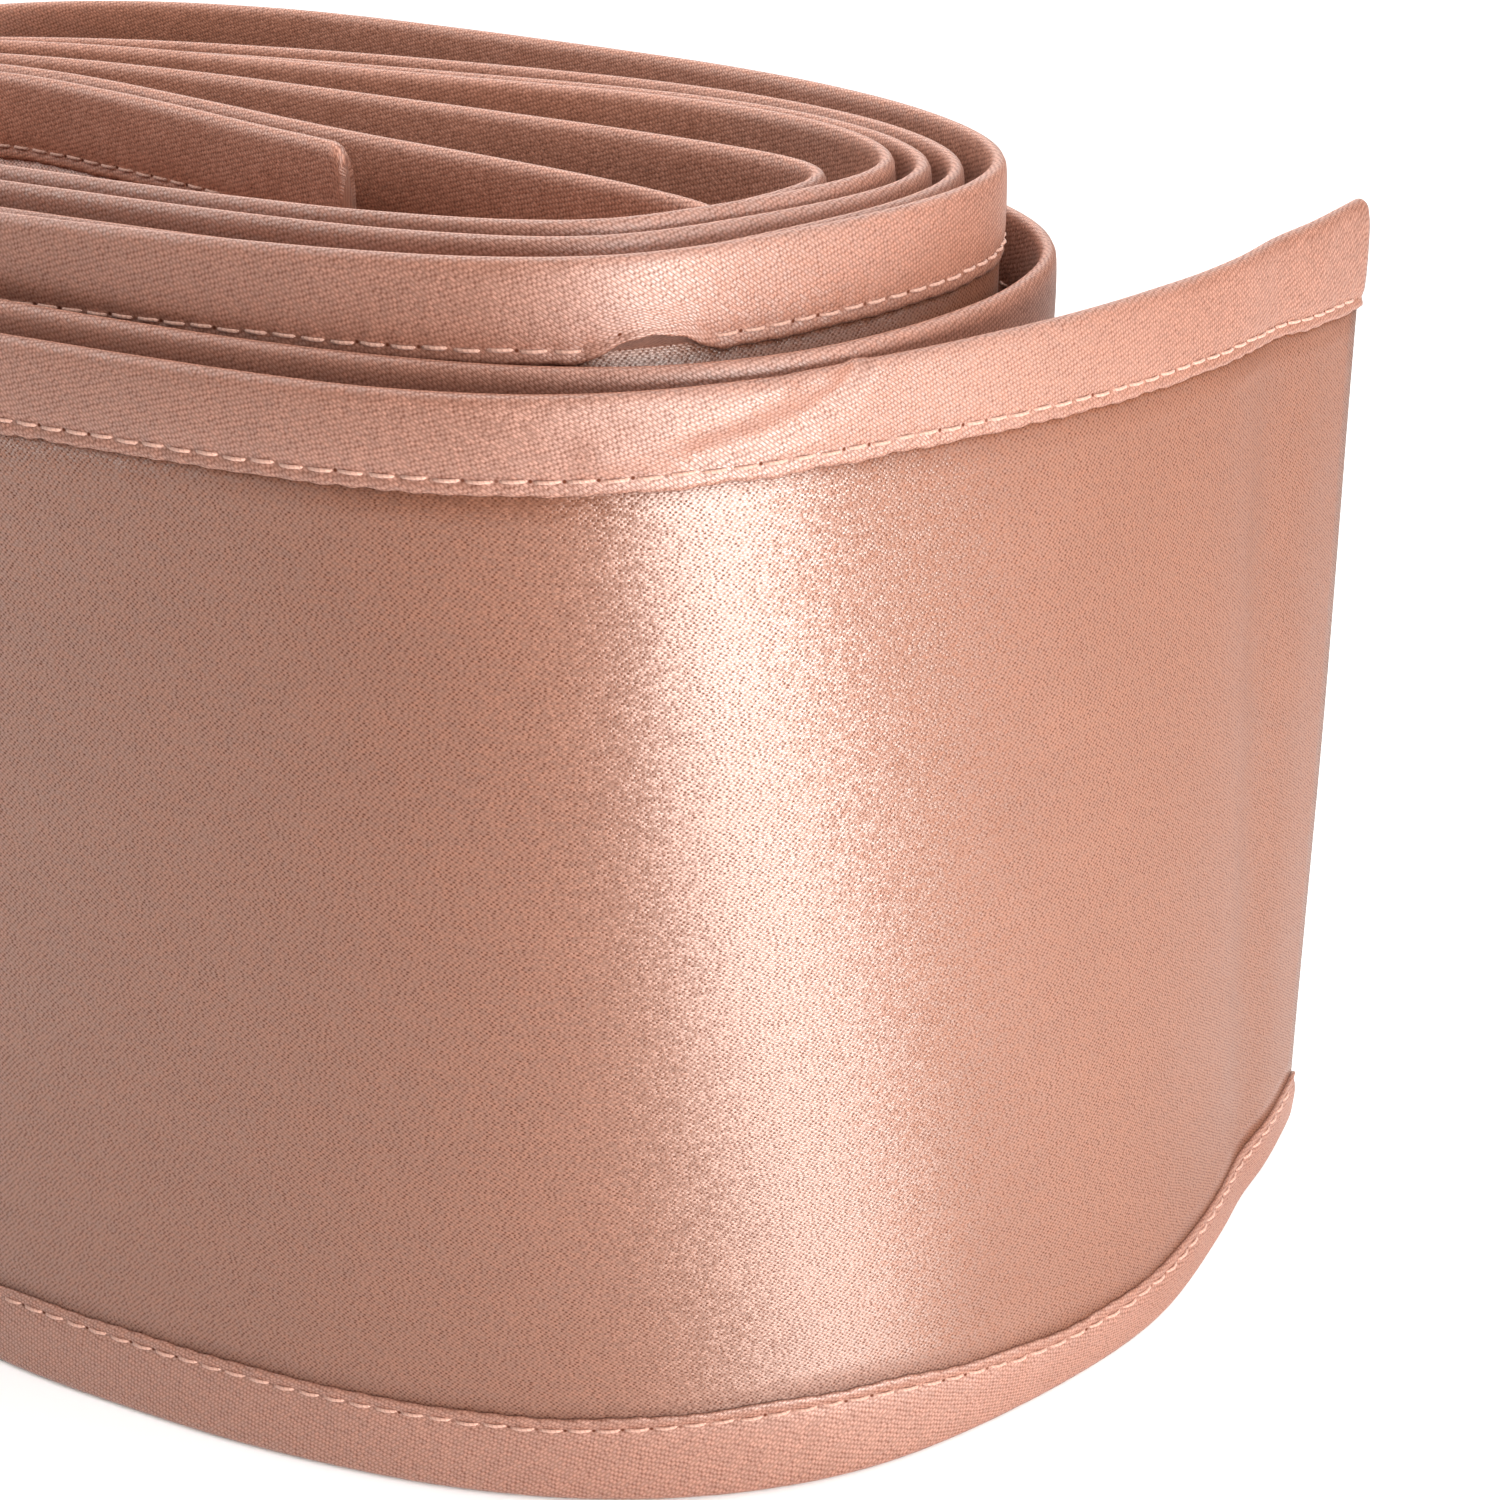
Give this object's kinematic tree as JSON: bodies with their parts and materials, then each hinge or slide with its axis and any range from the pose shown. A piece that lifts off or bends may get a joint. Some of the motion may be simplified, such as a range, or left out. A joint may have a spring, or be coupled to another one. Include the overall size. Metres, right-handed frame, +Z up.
{
  "type": "wound satin belt",
  "caption": "Wide satin belt with bound edges, wound into a loose slanted oval roll that stands on its lower edge, its outer end lying free to the right.",
  "frame": {"origin": "centre of the roll's bounding box, on the surface it stands on", "axes": "+X to the right, along the roll's longer side, +Y to the back, +Z up"},
  "size_m": [0.1832, 0.1224, 0.1098],
  "materials": {
    "satin_body": "soft sheen of dusty rose and copper satin",
    "satin_binding": "the same satin cut on the bias, a little paler"
  },
  "bodies": {
    "root": {"free_end_body": "satin_body", "free_end_top_binding": "satin_binding", "free_end_foot_binding": "satin_binding", "turn_1_body": "satin_body", "turn_1_top_binding": "satin_binding", "turn_1_foot_binding": "satin_binding", "turn_2_body": "satin_body", "turn_2_top_binding": "satin_binding", "turn_2_foot_binding": "satin_binding", "turn_3_body": "satin_body", "turn_3_top_binding": "satin_binding", "turn_3_foot_binding": "satin_binding", "turn_4_body": "satin_body", "turn_4_top_binding": "satin_binding", "turn_4_foot_binding": "satin_binding", "turn_5_body": "satin_body", "turn_5_top_binding": "satin_binding", "turn_5_foot_binding": "satin_binding", "turn_6_body": "satin_body", "turn_6_top_binding": "satin_binding", "turn_6_foot_binding": "satin_binding", "turn_7_body": "satin_body", "turn_7_top_binding": "satin_binding", "turn_7_foot_binding": "satin_binding", "inner_end_body": "satin_body", "inner_end_top_binding": "satin_binding", "inner_end_foot_binding": "satin_binding"}
  },
  "joints": []
}
